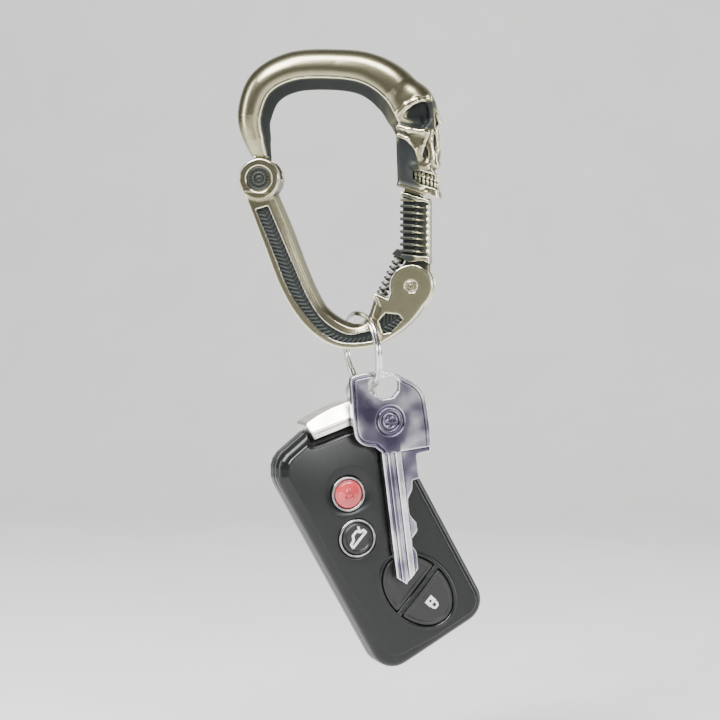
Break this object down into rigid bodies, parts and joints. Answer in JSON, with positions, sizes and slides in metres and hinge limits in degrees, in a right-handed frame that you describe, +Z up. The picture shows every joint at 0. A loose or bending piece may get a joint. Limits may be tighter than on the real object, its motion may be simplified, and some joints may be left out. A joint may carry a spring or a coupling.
{
  "type": "carabiner keyring",
  "caption": "Cast carabiner with a skull nose and a sprung vertebra gate, carrying a split ring, a house key and a car key fob with an emergency key.",
  "frame": {"origin": "the seat under the top of the hook, where a strap lies, in the middle of the carabiner's depth", "axes": "+Z up as it hangs, +X towards the gate, front faces -Y"},
  "size_m": [0.071, 0.0396, 0.1821],
  "materials": {
    "antique_brass": "antiqued zinc-brass casting, dark in the recesses and rubbed bright on the edges",
    "spring_steel": "drawn wire, slightly dark",
    "nickel": "nickel plate, finely scratched",
    "satin_chrome": "satin chrome plate",
    "black_shell": "fine-grained black moulding, semi gloss",
    "button_plastic": "satin black",
    "panic_plastic": "red face with a pale highlight",
    "rubber_sheet": "silicone rubber",
    "board": "green solder mask",
    "chip_black": "moulded epoxy",
    "coil_copper": "enamelled copper wire on ferrite",
    "bright_tin": "bright stamped steel"
  },
  "bodies": {
    "carabiner": {"skull_hook": "antique_brass", "lower_frame": "antique_brass", "knuckle_rivet": "antique_brass", "boss_disc_front": "antique_brass", "boss_disc_rear": "antique_brass", "gate_pin": "antique_brass", "gate_spring": "spring_steel"},
    "gate": {"spine_gate": "antique_brass"},
    "ring": {"split_ring": "nickel"},
    "house_key": {"house_key": "nickel"},
    "emergency_key": {"key_end_cap": "satin_chrome", "emergency_key_blade": "nickel"},
    "fob_case": {"fob_front_shell": "black_shell", "fob_rear_shell": "black_shell", "bezel_panic": "satin_chrome", "bezel_boot": "satin_chrome", "button_membrane": "rubber_sheet", "circuit_board": "board", "tact_switches": "bright_tin", "control_chip": "chip_black", "antenna_coil": "coil_copper", "coin_cell": "bright_tin", "cell_contact_positive": "bright_tin", "cell_contact_negative": "bright_tin", "latch_spring": "spring_steel"},
    "panic_button": {"button_panic": "panic_plastic"},
    "boot_button": {"button_boot": "button_plastic"},
    "lock_button": {"button_lock": "button_plastic"},
    "unlock_button": {"button_unlock": "button_plastic"},
    "latch": {"release_latch": "black_shell"}
  },
  "joints": [
    {"name": "gate_hinge", "type": "hinge", "parent": "carabiner", "child": "gate", "pos_m": [0.0211, 0, -0.057], "axis": [0, -1, 0], "range_deg": [0, 28], "stiffness_Nm_per_rad": 0.1, "springref_deg": -28.65, "deforming": ["gate_spring"]},
    {"name": "ring_swing", "type": "hinge", "parent": "carabiner", "child": "ring", "pos_m": [0.0048, 0, -0.07], "axis": [0.848, 0.5299, 0], "range_deg": [-18, 18]},
    {"name": "key_swing", "type": "hinge", "parent": "ring", "child": "house_key", "pos_m": [0.01029, -0.0042, -0.08569], "axis": [0.4695, -0.8829, 0], "range_deg": [-25, 25]},
    {"name": "fob_swing", "type": "hinge", "parent": "ring", "child": "emergency_key", "pos_m": [0.00562, 0.00343, -0.08674], "axis": [0.4695, -0.8829, 0], "range_deg": [-40, 40]},
    {"name": "emergency_key_draw", "type": "slide", "parent": "emergency_key", "child": "fob_case", "axis": [0.4308, 0.229, -0.8729], "range_m": [0, 0.045]},
    {"name": "panic_press", "type": "slide", "parent": "fob_case", "child": "panic_button", "axis": [-0.4695, 0.8829, 0], "range_m": [0, 0.0005], "stiffness_N_per_m": 3000, "springref_m": -0.0003},
    {"name": "boot_press", "type": "slide", "parent": "fob_case", "child": "boot_button", "axis": [-0.4695, 0.8829, 0], "range_m": [0, 0.0005], "stiffness_N_per_m": 3000, "springref_m": -0.0003},
    {"name": "lock_press", "type": "slide", "parent": "fob_case", "child": "lock_button", "axis": [-0.4695, 0.8829, 0], "range_m": [0, 0.0005], "stiffness_N_per_m": 3000, "springref_m": -0.0003},
    {"name": "unlock_press", "type": "slide", "parent": "fob_case", "child": "unlock_button", "axis": [-0.4695, 0.8829, 0], "range_m": [0, 0.0005], "stiffness_N_per_m": 3000, "springref_m": -0.0003},
    {"name": "latch_slide", "type": "slide", "parent": "fob_case", "child": "latch", "axis": [0.4308, 0.229, -0.8729], "range_m": [0, 0.002], "stiffness_N_per_m": 400, "springref_m": -0.002, "deforming": ["latch_spring"]}
  ]
}
